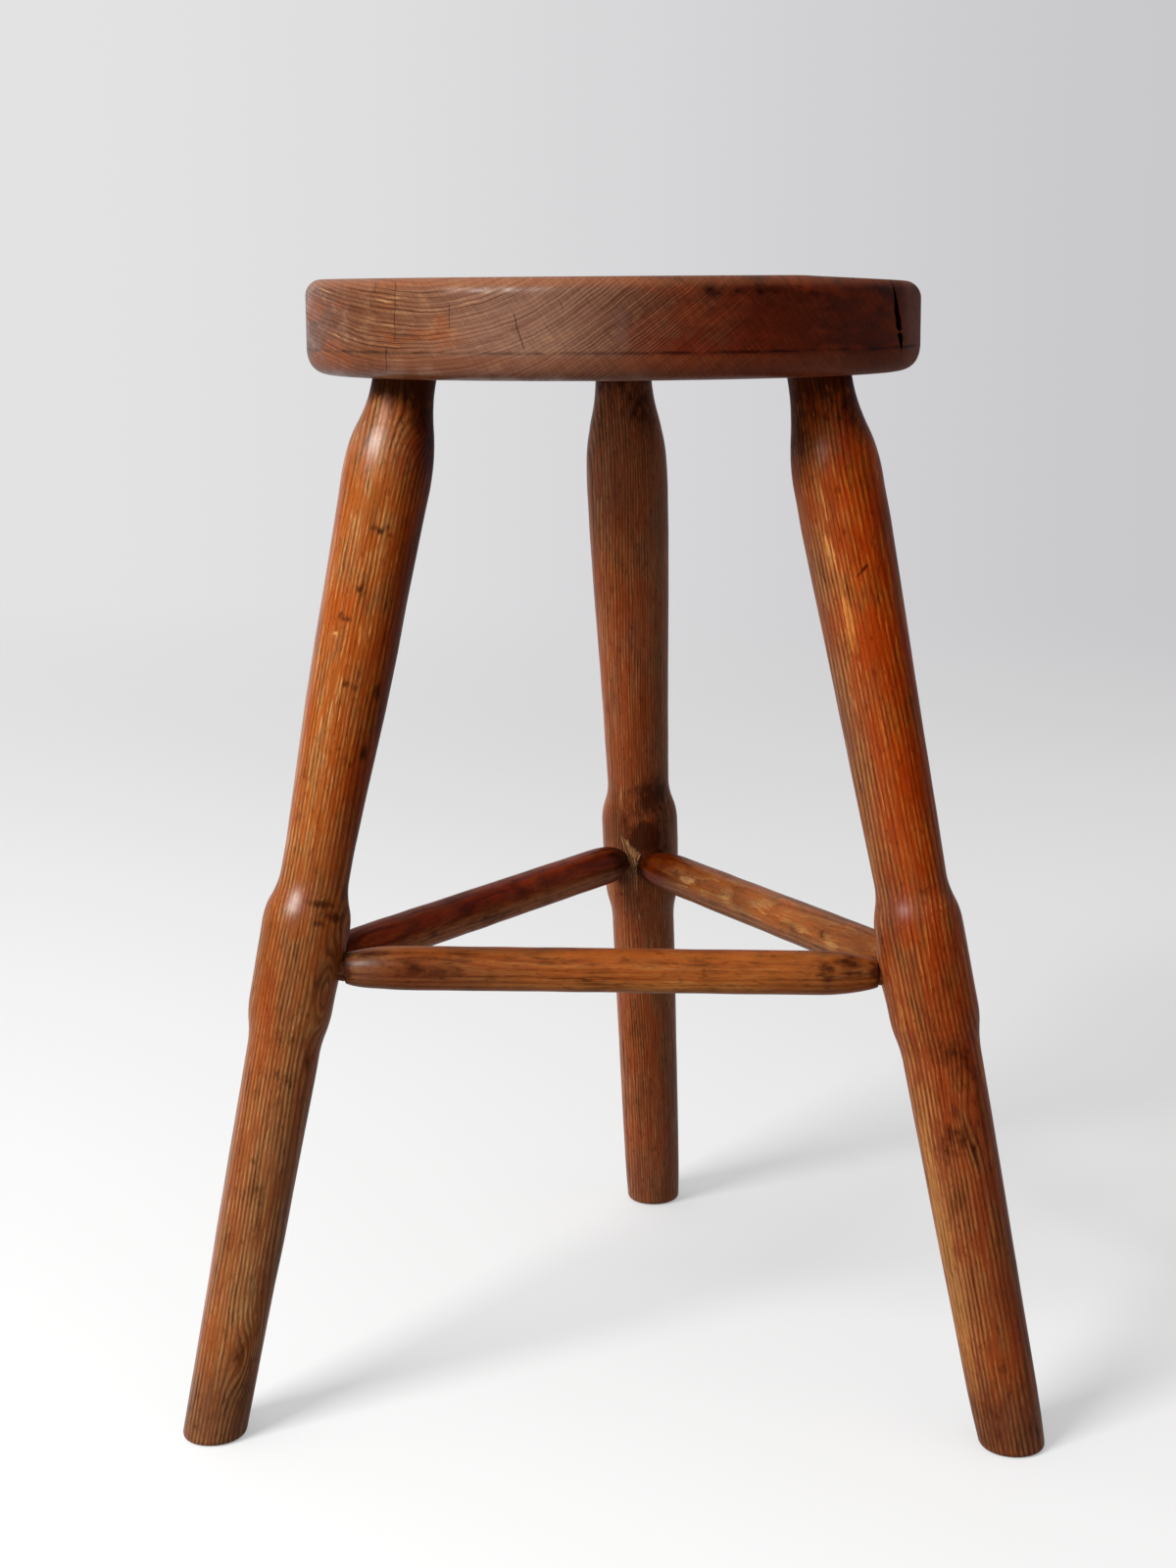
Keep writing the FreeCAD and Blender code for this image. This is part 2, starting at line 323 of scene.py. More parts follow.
def seat_wood():
    """Sawn plank: rings are surfaces at equal n = ln(1 + growth x F) / step, with F the height over a
    bowl-shaped curve, so that they narrow from left to right. Everything is drawn out along the grain.
    """
    wood = Finish(bpy.data.materials.new("seat_wood"))
    place = wood.node("TexCoord", None, None, output=3)
    c, s = math.cos(plank_turn), math.sin(plank_turn)
    moved = (s * seat_centre[1] * mm, -c * seat_centre[1] * mm, -seat_underside * mm)
    turned = wood.node("Mapping", {"vector_type": "POINT"}, {
        "Vector": place, "Rotation": (0, 0, plank_turn), "Location": moved,
    })
    plank = wood.stretched(turned, mm, mm, mm)
    x = wood.node("SeparateXYZ", None, {"Vector": plank})
    y, z = x.part("Y"), x.part("Z")

    left = (x + 7).at_most(0)
    curve = x * 0.78 + left * left * 0.0045
    sway = (wood.noise(plank, 110, 240, 90) - 0.5) * 14
    quiver = (wood.noise(plank, 9, 40, 9, detail=2) - 0.5) * 1.4
    ring_height = z - curve + sway + quiver
    grown = (ring_height * ring_growth + 1).at_least(0.15)
    rings = x.maths("LOGARITHM", grown, math.e) / ring_step
    number = rings.floor()
    across = rings - number
    chance = wood.node("TexWhiteNoise", {"noise_dimensions": "1D"}, {"W": number})
    along_ring = x * 0.82 + z * 0.57
    ring_place = wood.node("CombineXYZ", None, {"X": along_ring / 26, "Y": y / 60, "Z": rings * 2.6})
    between = wood.node("TexNoise", None, {"Vector": ring_place, "Scale": 1, "Detail": 3})
    ray_place = wood.node("CombineXYZ", None, {"X": along_ring, "Y": y / 12, "Z": ring_height / 11})
    rays = wood.node("TexNoise", None, {"Vector": ray_place, "Scale": 1, "Detail": 2})

    cells = wood.noise(plank, 0.45, 10, 0.45, detail=2) - 0.5
    patches = wood.noise(plank, 34, 60, 15, detail=3)
    blotches = wood.noise(plank, 10, 20, 7, detail=4, roughness=0.6)
    scuffs = wood.noise(plank, 24, 30, 4, detail=3)
    broken = wood.noise(plank, 13, 16, 13, detail=3)

    # From left to right: bare and brown, then the grey middle, greyed wood with a painted reflection of
    # the window on it, then dark red varnish, worn in patches
    worn_left = x.over(-30, 62, 1, 0)
    ground = wood.mixed(x.over(-125, -45), ink(112, 68, 42), ink(126, 90, 72))
    ground = wood.mixed(x.over(-130, -150) * 0.5, ground, ink(78, 40, 26))
    ground = wood.mixed(x.over(-40, 34), ground, ink(92, 48, 28))
    ground = wood.mixed(x.over(22, 66), ground, ink(80, 26, 8))
    ground = wood.mixed(blotches.over(0.42, 0.62) * 0.7 * (1 - worn_left), ground, ink(64, 18, 7))
    ground = wood.mixed(patches.over(0.5, 0.62) * 0.55 * (1 - worn_left), ground, ink(118, 44, 16))
    ground = wood.mixed(patches.over(0.47, 0.6) * 0.7 * x.over(-62, -84), ground, ink(138, 74, 38))
    ground = wood.mixed(blotches.over(0.54, 0.68) * 0.35 * worn_left, ground, ink(156, 112, 74))
    rusty = x.over(0, 30) * x.over(100, 60) * z.over(28, 18)
    ground = wood.mixed(rusty * blotches.over(0.35, 0.6) * 0.8, ground, ink(96, 30, 12))
    ground = wood.mixed(scuffs.over(0.5, 0.62) * x.over(30, 80) * 0.3, ground, ink(100, 32, 12))
    # Past the split the rim is paler and greyer, partly a painted glancing reflection
    ground = wood.mixed(x.over(133, 142), ground, ink(108, 60, 48))

    # Thin dark lines end the rings, with paler wood before them, all weaker under the dark varnish
    line = (across.over(0.14, 0) + across.over(0.80, 1)) * (chance * 0.6 + 0.4)
    strength = 0.25 + z.over(13, 9) * x.over(-20, 40) * 0.4 + worn_left * 0.65
    strength = strength + x.over(-70, -110) * 0.3 + x.over(-40, -10) * x.over(90, 40) * 0.4
    shade = wood.filtered(line * strength, ground, ink(134, 104, 98))
    shade = wood.filtered(between.over(0.52, 0.34) * strength * 0.6, shade, ink(176, 150, 140))
    pale = across.over(0.2, 0.45) * across.over(0.85, 0.6) * between.over(0.5, 0.66) * strength
    shade = wood.mixed(pale * 0.15, shade, ink(160, 112, 78))
    shade = wood.mixed(pale * scuffs.over(0.55, 0.66) * x.over(-40, -60) * 0.5, shade, ink(190, 148, 98))

    # A dark line runs along the lower edge of the rim, dirt along the top edge; the lower edge is redder,
    # the top edge rubbed
    low_line = abs(z - lower_edge_height + (blotches - 0.5) * 2).over(1.3, 0.1)
    high_line = abs(z - 39.5 + (blotches - 0.5) * 6).over(3.0, 0.2)
    # The lower edge is painted darker where the rim turns under
    low_edge_darkening = low_line * broken.over(0.3, 0.6) * (0.85 - worn_left * 0.25)
    high_dirt = high_line * broken.over(0.4, 0.6) * x.over(20, 70) * 0.6
    stains = blotches.over(0.55, 0.66) * z.over(34, 40) * x.over(-10, 20) * 0.8
    shade = wood.filtered(low_edge_darkening, shade, ink(92, 74, 72))
    shade = wood.filtered(high_dirt, shade, ink(110, 80, 76))
    shade = wood.filtered(stains, shade, ink(96, 70, 66))
    shade = wood.mixed(z.over(lower_edge_height, 9.5) * 0.4, shade, ink(112, 56, 30))
    shade = wood.mixed(z.over(40, 44) * (0.25 + worn_left * 0.3), shade, ink(140, 84, 54))
    bruise = abs(x - 1.5).over(5, 1) * abs(z - 24).over(14, 3)
    shade = wood.mixed(bruise * 0.45, shade, ink(96, 66, 58))

    # Hairline checks in the front rim: place and height of the top and of the bottom end, width, darkness
    cracks = 0
    wobble = (wood.noise(plank, 4, 30, 4, detail=1) - 0.5) * 1.2
    for x0, z0, x1, z1, width, strength in (
        (-110.0, 45, -110.3, 37.6, 0.28, 0.7),
        (-112.3, 37.6, -112.6, 27, 0.3, 0.45),
        (-100.2, 45.5, -101.1, 16.2, 0.24, 0.8),
        (-105.0, 16.2, -105.8, 2.5, 0.32, 0.95),
        (-74.9, 36, -75.2, 22.5, 0.24, 0.6),
        (-46.5, 31.5, -41.3, 12.9, 0.3, 0.9),
        (-26.0, 36, -23.4, 29.5, 0.26, 0.55),
    ):
        lean = (x0 - x1) / (z0 - z1)
        away = abs(x - (x1 - lean * z1) - z * lean + wobble)
        span = z.over(z1, z1 + 2.5) * z.over(z0, z0 - 2.5)
        cracks = cracks + away.over(width, width * 0.35) * span * strength
    cracks = cracks * y.over(-40, -70)
    top_run = abs(x - 130.0 + wobble * 0.6).over(0.5, 0.15) * z.over(38, 40) * y.over(-20, -60)
    open_grain = (cracks + top_run).at_most(1)
    shade = wood.mixed(open_grain * 0.85, shade, ink(30, 12, 8))

    shade = wood.toned(shade, cells * 0.55 + (rays - 0.5) * (1.0 - worn_left * 0.4) + 1)
    relief = (1 - line * 0.4) + cells * 0.5 - open_grain * 3
    roughness = 0.38 + (patches - 0.5) * 0.2 + x.over(60, 140) * 0.3
    varnish = blotches.over(0.42, 0.62) * worn_left * z.over(46, 42) * 0.3 + x.over(120, 90) * 0.05
    return wood.varnished(
        shade, roughness, relief, depth=0.08, specular=0.05, coat=varnish, coat_roughness=0.3
    )


seat = skin("round_seat", seat_rings())
seat.data.materials.append(seat_wood())
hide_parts("seat")
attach(seat, "root")


# The legs, each turned from one straight-grained billet: a neck under the seat, a swelling, a long taper
# to a waist, a collar that takes two stretchers, and a tapered shank. A tenon is glued into the seat.
leg_tenon_radius = 12.5
leg_tenon_bevel = 0.4
wood_above_socket = 14
glue_pocket = 2
stretcher_height = 232
foot_edge_round = 3
neck_radius = 15.2
collar_radius = 21.35
waist_radius = 16.95
collar_foot_radius = 20.9
shank_radius = 17.8
foot_radius = 15.65
neck_length = 4
swelling_depth = 52
collar_marks = np.array([-47, -21, 16, 42])
dent_radius = 20


def polar(radius, azimuth, height):
    """Point at a radius and azimuth about the seat's axis, at a height above the floor."""
    turn = math.radians(azimuth)
    return seat_centre + np.array([radius * math.cos(turn), radius * math.sin(turn), height])


legs = {
    "leg_front_left": (polar(113, 210, seat_underside), polar(229, 211, 0)),
    "leg_front_right": (polar(116, 330, seat_underside), polar(229, 330, 0)),
    "leg_back": (polar(113, 90, seat_underside), polar(229, 87, 0)),
}


def s_curve(depth, start, start_radius, end, end_radius):
    """Ogee between two radii: the change times 2 k^2 in its first half and 1 - 2 (1 - k)^2 in its second."""
    k = np.clip((depth - start) / (end - start), 0, 1)
    return start_radius + (end_radius - start_radius) * np.where(k < 0.5, 2 * k * k, 1 - 2 * (1 - k) ** 2)


def turning(depth, length):
    """Radius of a leg at a depth along it below the seat: ogees and straight tapers in turn."""
    stretchers = length * (1 - stretcher_height / seat_underside)
    waist, collar_top, collar_foot, shank_top = stretchers + collar_marks
    ends = [swelling_depth, waist, collar_top, collar_foot, shank_top]
    forms = [
        s_curve(depth, neck_length, neck_radius, swelling_depth, collar_radius),
        np.interp(depth, [swelling_depth, waist], [collar_radius, waist_radius]),
        s_curve(depth, waist, waist_radius, collar_top, collar_radius),
        np.interp(depth, [collar_top, collar_foot], [collar_radius, collar_foot_radius]),
        s_curve(depth, collar_foot, collar_foot_radius, shank_top, shank_radius),
    ]
    shank = np.interp(depth, [shank_top, length], [shank_radius, foot_radius])
    return np.select([depth < end for end in ends], forms, shank)


def leg_frame(leg):
    """Head of a leg's axis, its length, and the directions down it, outwards from it and level."""
    head, foot = legs[leg]
    length = np.linalg.norm(foot - head)
    down = (foot - head) / length
    level = np.cross([0, 0, 1], down)
    level /= np.linalg.norm(level)
    return head, length, down, np.cross(down, level), level


def bell(along, view, radius, spot):
    """Bell curve in a depth and in an angle from the side that faces the viewer, 1 at its middle."""
    depth, angle, long, wide = spot
    gap = (np.degrees(view) - angle + 180) % 360 - 180
    return np.exp(-((along - depth) / long) ** 2 - (np.radians(gap) * radius / wide) ** 2)


def leg_rings(leg, build):
    """Rings down a leg, from the end of its tenon to the middle of its foot.

    A ring point is head + down s + r (out cos t + level sin t). Near the seat and the floor,
    s grows by r tan(lean) cos t, which trims the leg level there. Turning ripples and dents
    are added to the radius, a dent being a bell curve of its length and width.
    """
    head, length, down, out, level = leg_frame(leg)
    slant = math.tan(math.acos(-down[2]))
    tenon_depth = (seat_thickness - wood_above_socket) / -down[2] - glue_pocket
    shank_end = length + foot_edge_round / down[2]
    round_off = np.linspace(0, math.pi / 2, 7)

    tenon = np.array([-tenon_depth] * 3 + [-tenon_depth + leg_tenon_bevel, -20, -10, 0, 0])
    tenon_end = [2, 8, leg_tenon_radius - leg_tenon_bevel]
    tenon_radius = np.array(tenon_end + [leg_tenon_radius] * 4 + [neck_radius])
    body = np.arange(0.6, shank_end, 1)
    rounding = length + foot_edge_round * (1 - np.sin(round_off)) / down[2]
    rounding_radius = foot_radius - foot_edge_round * (1 - np.cos(round_off))
    sole_radius = (foot_radius - foot_edge_round) * np.array([0.75, 0.45, 0.15])

    depth = np.hstack([tenon, body, rounding, np.full(3, length)])
    radius = np.hstack([tenon_radius, turning(body, length), rounding_radius, sole_radius])
    depth, turn = np.meshgrid(depth, np.linspace(0, 2 * math.pi, 128, endpoint=False), indexing="ij")
    radius = np.broadcast_to(radius[:, None], depth.shape).copy()
    outward, sideward = np.cos(turn), np.sin(turn)
    view = turn - math.radians(build["facing"])

    turned = (depth > 6) & (depth < shank_end - 1)
    fade = smooth(2, 40, depth) * smooth(length - 6, length - 90, depth)
    radius *= np.interp(depth, *np.array(build["girth"]).T)
    lumps = waves(build["seed"] + 1, 8, (depth, 200), (outward, 6), (sideward, 6))
    ripple = 0.07 * waves(build["seed"], 8, (depth, 60)) + 0.14 * lumps
    radius += np.where(turned, ripple * fade, 0)
    for *spot, deep in build["dents"]:
        radius -= np.where(turned, deep * bell(depth, view, dent_radius, spot), 0)

    trim = np.maximum(smooth(40, 0, depth) * smooth(-20, 0, depth), smooth(length - 40, length - 4, depth))
    along = depth + radius * slant * outward * trim
    ring = outward[..., None] * out + sideward[..., None] * level
    points = head + along[..., None] * down + radius[..., None] * ring
    low, high = np.array(cad_box) / mm
    margin = [0.02, 0.02, 0]
    return np.clip(points, low + margin, high - margin), radius, view, along


def turned_wood(name, build):
    """Turned billet: rings lie at equal distance from the pith, which is off to one side of the piece.

    Varnished wood in three tones, deep in the late wood of each ring, and golden where the varnish
    is rubbed off along the grain; a few golden places are painted light. Dirt, wear, painted shade and
    painted light are laid over that as filters. The pattern is drawn out along the billet, and reads its
    place in it from the mesh.
    """
    pith, spacing, age, lines = (build[key] for key in ("pith", "spacing", "age", "lines"))
    deep, middle, gold = build["tones"]
    wood = Finish(bpy.data.materials.new(name))
    billet, marks, wear_and_painted_light = (
        wood.node("Attribute", {"attribute_name": key}, None, output="Vector")
        for key in ("billet", "marks", "wear_and_painted_light")
    )
    x, dirt_and_shade, aged_and_painted_light = (wood.node("SeparateXYZ", None, {"Vector": values}) for values in (billet, marks, wear_and_painted_light))
    y, depth = x.part("Y"), x.part("Z")
    bare_and_painted_light, thick = dirt_and_shade.part("Y"), dirt_and_shade.part("Z")
    polish, swirl = aged_and_painted_light.part("Y"), aged_and_painted_light.part("Z")
    painted_shade_and_dark_wood = wood.node("Attribute", {"attribute_name": "painted_shade_and_dark_wood"}, None, output="Fac")

    sway = (wood.noise(billet, 50, 50, 240, detail=1) - 0.5) * 9
    quiver = (wood.noise(billet, 6, 6, 44, detail=2) - 0.5) * 1.8
    to_x, to_y = x - pith[0], y - pith[1]
    rings = (x.maths("SQRT", to_x * to_x + to_y * to_y) + sway + quiver) / spacing + swirl * 3
    number = rings.floor()
    across = rings - number
    chance = wood.node("TexWhiteNoise", {"noise_dimensions": "1D"}, {"W": number})
    ring_place = wood.node("CombineXYZ", None, {"X": rings * 2.6, "Y": y / 25, "Z": depth / 30})
    between = wood.node("TexNoise", None, {"Vector": ring_place, "Scale": 1, "Detail": 4, "Roughness": 0.62})

    fibres = wood.noise(billet, 0.3, 0.3, 9, detail=3) - 0.5
    streaks = wood.noise(billet, 0.9, 0.9, 12, detail=3)
    flecks = wood.noise(billet, 0.55, 0.55, 3.4, detail=2)
    clouds = wood.noise(billet, 18, 18, 60, detail=3)
    patches = wood.noise(billet, 8, 8, 26, detail=4, roughness=0.6)
    blotches = wood.noise(billet, 3.2, 3.2, 7, detail=4, roughness=0.62)
    ragged = (blotches - 0.5) * 1.4

    # Varnished wood: the deep late wood of each ring, then golden flecks, lines and rubbed places, a few
    # of them painted light
    late = (across.over(0.5, 0.95) + across.over(0.14, 0.0)) * (chance * 0.6 + 0.3)
    late = late * (streaks.over(0.3, 0.6) + 0.25)
    hump = across.over(0.02, 0.35) * across.over(0.8, 0.5)
    early = hump * (streaks + 0.3)
    rubbed_and_painted_light = (bare_and_painted_light + (streaks - 0.5) * 1.3 + ragged * 0.35).over(0.4, 0.8)
    shade = wood.mixed(late * 0.9 + (0.5 - between) * 2.0 + (0.5 - streaks) * 1.0 + 0.08, middle, deep)
    uneven = (streaks - 0.5) * 3.0 + (between - 0.5) * 1.6 + (patches - 0.5) * 2.6
    flecked = (hump * 0.8 + 0.2) * (uneven + bare_and_painted_light * 0.5 + 0.15).over(0.15, 0.75)
    shade = wood.mixed(flecked * 0.8, shade, gold)
    shade = wood.mixed(early * patches.over(0.38, 0.58) * lines, shade, gold)
    # Rubbed places are bare, golden wood; high on the back leg's left and along the lower sides of the front
    # and left stretchers they are painted light
    shade = wood.mixed(rubbed_and_painted_light * (1 - late * 0.6) * 0.9, shade, gold)

    # Over it lie thick red varnish, uneven stain, painted shade with some darker wood, greyed places, and
    # dull aged wood, which in a few places is painted light
    shade = wood.filtered(thick * 0.9 + (clouds - 0.45) * 1.6, shade, ink(248, 196, 112))
    shade = wood.filtered(clouds.over(0.5, 0.3) * 0.6, shade, (0.54, 0.56, 0.74, 1))
    # Painted shade: the sides turned from the window, the necks under the seat and the collars are darkened
    # here, together with some darker wood such as at the feet
    shade = wood.filtered(painted_shade_and_dark_wood * (1.2 - streaks * 0.5), shade, ink(176, 150, 128))
    dull = wood.mixed(early * (patches.over(0.4, 0.62) + 0.2), ink(99, 65, 45), ink(164, 119, 79))
    # Aged places are dull, worn wood; on the back leg's right edge and under the left stretcher they are
    # painted light: a painted rim of light and light thrown up from the floor
    shade = wood.mixed(aged_and_painted_light * (1.1 - streaks) * 0.95, shade, dull)
    greyed = (age + (patches - 0.5) * 2.4 + (streaks - 0.5) * 1.6).over(0.05, 1.0)
    shade = wood.filtered(greyed, shade, ink(148, 130, 122))

    # Pores, specks, and dirt with painted shadow come last
    pores = flecks.over(0.44, 0.34)
    shade = wood.filtered(pores * 0.22, shade, ink(120, 84, 66))
    shade = wood.filtered(blotches.over(0.56, 0.68) * 0.38, shade, ink(112, 80, 68))
    # Dark spots are dirt, and painted shadow too: the seat's shadow on the necks, and the shade where the
    # stretchers go into the collars
    grime_and_shade = (dirt_and_shade + dirt_and_shade * ragged * 1.6 + ragged * 0.2 + fibres * 0.3).over(0.14, 0.95)
    shade = wood.mixed(grime_and_shade * 0.82, shade, ink(46, 15, 6))
    shade = wood.toned(shade, fibres * 0.6 + 1)

    relief = hump * 0.3 - pores * 0.6 + fibres * 0.5 + (blotches - 0.5) * 0.8
    roughness = 0.38 + (patches - 0.5) * 0.2 + rubbed_and_painted_light * 0.1
    coat = (polish * 0.9 + 0.05) * (1 - grime_and_shade * 0.9)
    return wood.varnished(
        shade, roughness, relief, depth=0.05, specular=0.03, coat=coat, coat_roughness=0.36
    )


def carry(piece, name, *values):
    """Gives a mesh one or three numbers at each point, for its material to read. The two poles take
    the mean of the nearest ring.
    """
    full = [np.hstack([value.ravel(), value[0].mean(), value[-1].mean()]) for value in values]
    kind, key = ("FLOAT", "value") if len(values) == 1 else ("FLOAT_VECTOR", "vector")
    attribute = piece.data.attributes.new(name, kind, "POINT")
    attribute.data.foreach_set(key, np.stack(full, -1).astype(np.float32).ravel())


def marked(along, radius, view, spots):
    """Smooth mask of a list of spots, each a bell curve times its strength."""
    total = np.zeros_like(along)
    for *spot, strength in spots:
        total = np.maximum(total, strength * bell(along, view, radius, spot))
    return total


def give_wood(piece, node, build, billet, radius, view):
    """Gives a turned piece its place in the billet, the masks of its spots, and its material."""
    carry(piece, "billet", *billet)
    for name, kinds in (
        ("marks", ("dark", "bare_and_painted_light", "thick")),
        ("wear_and_painted_light", ("aged_and_painted_light", "polish", "swirl")),
        ("painted_shade_and_dark_wood", ("painted_shade_and_dark_wood",)),
    ):
        carry(piece, name, *[marked(billet[2], radius, view, build[kind]) for kind in kinds])
    piece.data.materials.append(turned_wood(node + "_wood", build))


